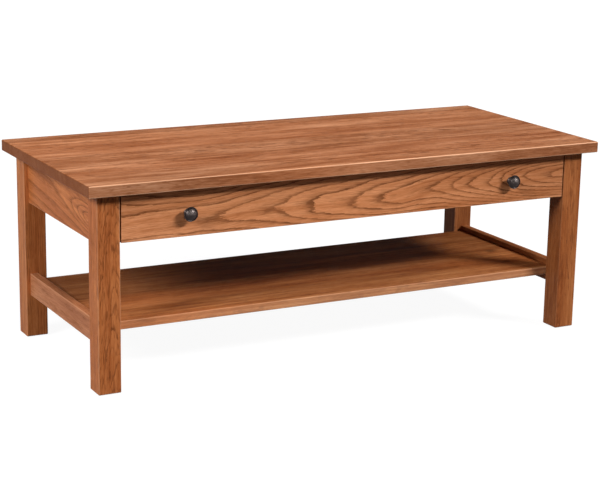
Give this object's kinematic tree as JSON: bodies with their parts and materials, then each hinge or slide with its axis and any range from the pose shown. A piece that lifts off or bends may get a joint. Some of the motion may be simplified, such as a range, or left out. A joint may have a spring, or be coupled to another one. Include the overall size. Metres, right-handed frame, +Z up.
{
  "type": "coffee table",
  "caption": "Rectangular oak coffee table on square legs, with a wide full-extension drawer, round dark knobs and a low open shelf between end stretchers.",
  "frame": {"origin": "on the floor, under the middle of the table top", "axes": "+X along the table to the right as seen from the front, -Y out of the front where the drawer opens, +Z up"},
  "size_m": [1.27, 0.5588, 0.4572],
  "materials": {
    "stained_oak": "open-grained oak, mid-brown stain, satin lacquer",
    "plain_wood": "planed hardwood, clear sealed",
    "drawer_wood": "planed pale hardwood, clear lacquer",
    "plywood": "sanded hardwood plywood, clear lacquer",
    "dark_bronze": "oil-rubbed dark bronze plating, satin",
    "zinc_steel": "bright zinc plate",
    "nylon": "moulded brown nylon"
  },
  "bodies": {
    "frame": {"table_top": "stained_oak", "leg_front_left": "stained_oak", "leg_front_right": "stained_oak", "leg_back_left": "stained_oak", "leg_back_right": "stained_oak", "apron_left": "stained_oak", "apron_right": "stained_oak", "apron_back": "stained_oak", "stretcher_left": "stained_oak", "stretcher_right": "stained_oak", "shelf": "stained_oak", "front_rail": "stained_oak", "shelf_cleat_left": "plain_wood", "shelf_cleat_right": "plain_wood", "slide_packer_left": "plain_wood", "slide_packer_right": "plain_wood", "slide_case_left": "zinc_steel", "slide_case_right": "zinc_steel", "top_clips": "zinc_steel", "top_clip_screws": "zinc_steel", "front_rail_screws": "zinc_steel", "cleat_screws": "zinc_steel", "shelf_screws": "zinc_steel", "packer_screws": "zinc_steel", "slide_case_screws": "zinc_steel", "glide_front_left": "nylon", "glide_front_right": "nylon", "glide_back_left": "nylon", "glide_back_right": "nylon"},
    "drawer": {"drawer_front": "stained_oak", "drawer_box_front": "drawer_wood", "drawer_side_left": "drawer_wood", "drawer_side_right": "drawer_wood", "drawer_back": "drawer_wood", "drawer_bottom": "plywood", "drawer_brace": "drawer_wood", "knob_left": "dark_bronze", "knob_right": "dark_bronze", "knob_screws": "zinc_steel", "drawer_front_screws": "zinc_steel", "slide_drawer_left": "zinc_steel", "slide_drawer_right": "zinc_steel", "slide_drawer_screws": "zinc_steel"},
    "slide_middle_left": {"slide_middle_left": "zinc_steel"},
    "cage_case_left": {"ball_cage_case_left": "zinc_steel", "balls_case_left": "zinc_steel"},
    "cage_drawer_left": {"ball_cage_drawer_left": "zinc_steel", "balls_drawer_left": "zinc_steel"},
    "slide_middle_right": {"slide_middle_right": "zinc_steel"},
    "cage_case_right": {"ball_cage_case_right": "zinc_steel", "balls_case_right": "zinc_steel"},
    "cage_drawer_right": {"ball_cage_drawer_right": "zinc_steel", "balls_drawer_right": "zinc_steel"}
  },
  "joints": [
    {"name": "drawer_slide", "type": "slide", "parent": "frame", "child": "drawer", "axis": [0, -1, 0], "range_m": [0, 0.4]},
    {"name": "slide_middle_left_slide", "type": "slide", "parent": "frame", "child": "slide_middle_left", "axis": [0, -1, 0], "range_m": [0, 0.2]},
    {"name": "cage_case_left_slide", "type": "slide", "parent": "frame", "child": "cage_case_left", "axis": [0, -1, 0], "range_m": [0, 0.1]},
    {"name": "cage_drawer_left_slide", "type": "slide", "parent": "frame", "child": "cage_drawer_left", "axis": [0, -1, 0], "range_m": [0, 0.3]},
    {"name": "slide_middle_right_slide", "type": "slide", "parent": "frame", "child": "slide_middle_right", "axis": [0, -1, 0], "range_m": [0, 0.2]},
    {"name": "cage_case_right_slide", "type": "slide", "parent": "frame", "child": "cage_case_right", "axis": [0, -1, 0], "range_m": [0, 0.1]},
    {"name": "cage_drawer_right_slide", "type": "slide", "parent": "frame", "child": "cage_drawer_right", "axis": [0, -1, 0], "range_m": [0, 0.3]}
  ],
  "couplings": [
    {"joint": "slide_middle_left_slide", "follows": "drawer_slide", "ratio": 0.5},
    {"joint": "cage_case_left_slide", "follows": "drawer_slide", "ratio": 0.25},
    {"joint": "cage_drawer_left_slide", "follows": "drawer_slide", "ratio": 0.75},
    {"joint": "slide_middle_right_slide", "follows": "drawer_slide", "ratio": 0.5},
    {"joint": "cage_case_right_slide", "follows": "drawer_slide", "ratio": 0.25},
    {"joint": "cage_drawer_right_slide", "follows": "drawer_slide", "ratio": 0.75}
  ]
}
